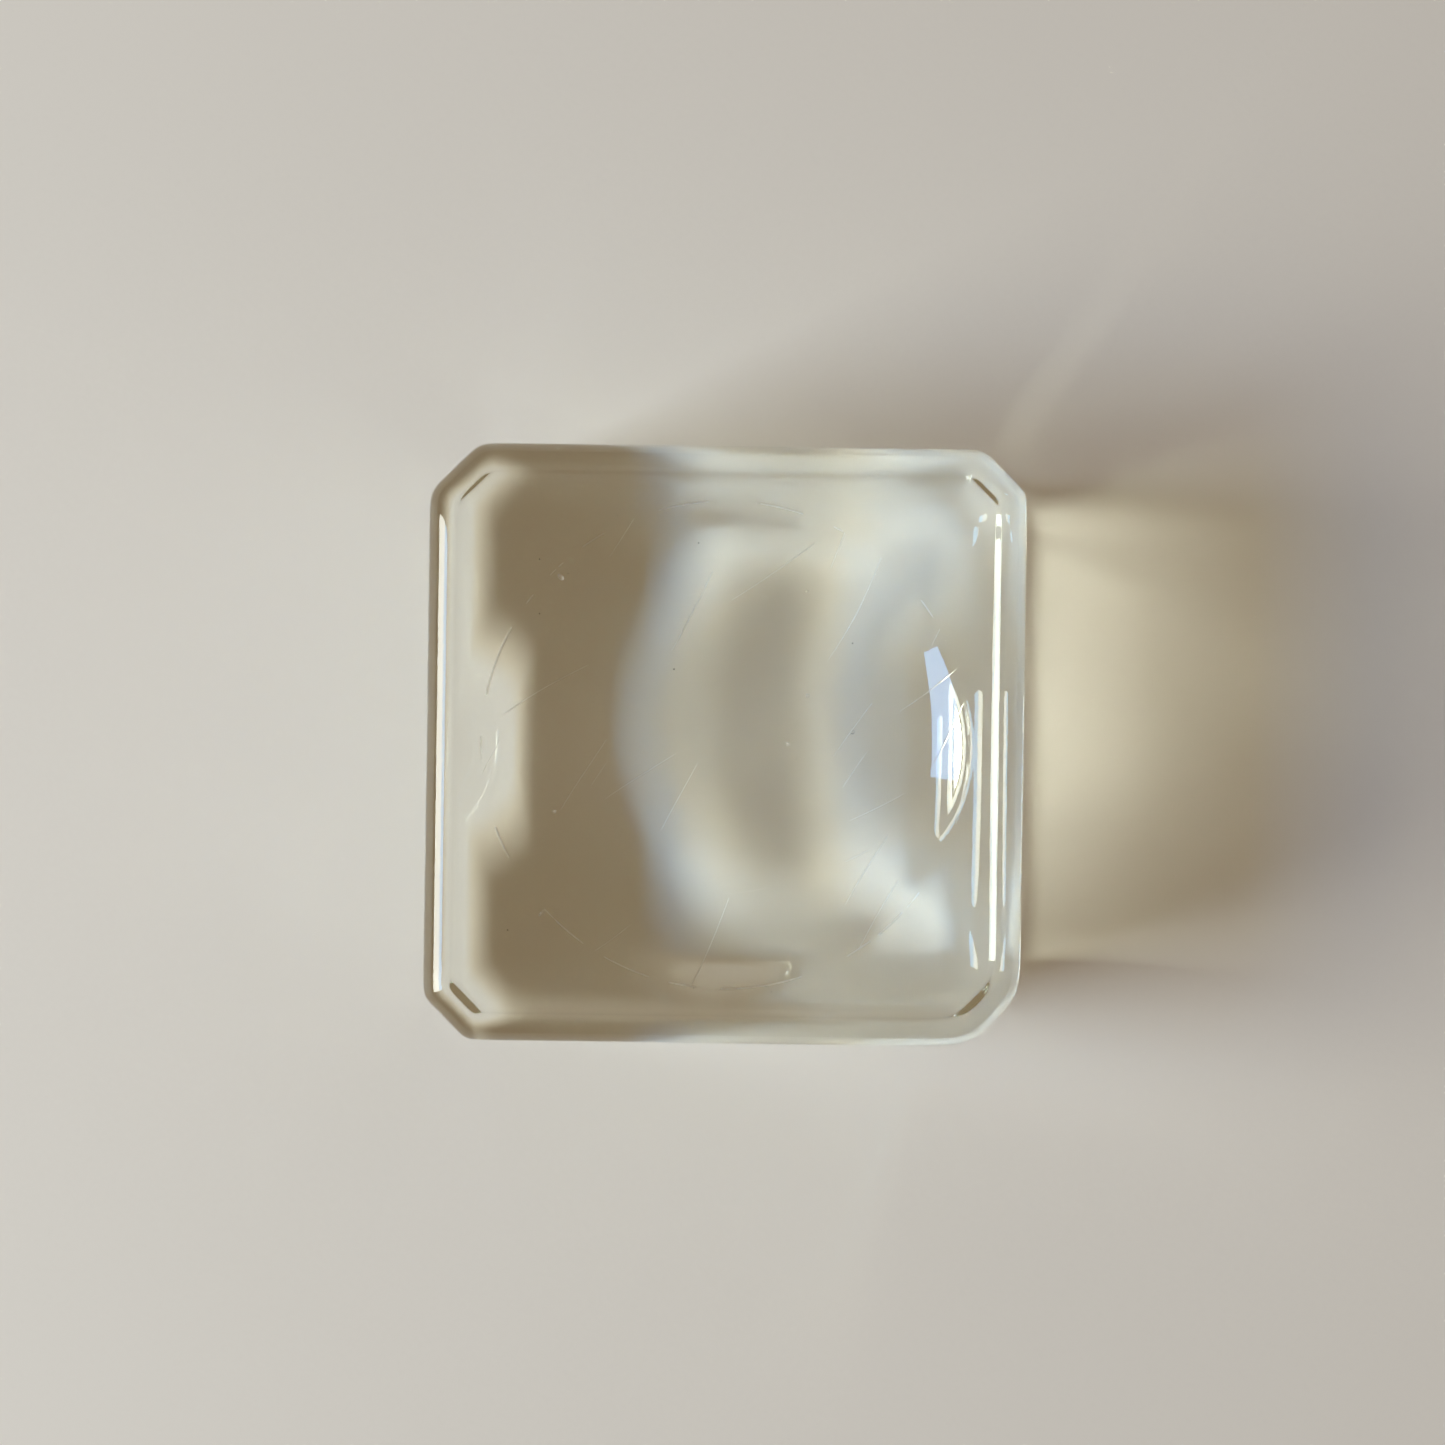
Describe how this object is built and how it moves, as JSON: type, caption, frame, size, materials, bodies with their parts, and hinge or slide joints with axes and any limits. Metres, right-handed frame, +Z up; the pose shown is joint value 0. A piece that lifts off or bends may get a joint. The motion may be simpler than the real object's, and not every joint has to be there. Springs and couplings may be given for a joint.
{
  "type": "paperweight",
  "caption": "Clear pressed-glass desk paperweight: square block with cut corners, a rounded foot and a shallow round dish in the top.",
  "frame": {"origin": "centre of the flat base, on the surface the block stands on", "axes": "+Z up out of the dish; X and Y square to the four flat walls"},
  "size_m": [0.06, 0.06, 0.032],
  "materials": {
    "glass": "gloss"
  },
  "bodies": {
    "root": {"glass_block": "glass"}
  },
  "joints": []
}
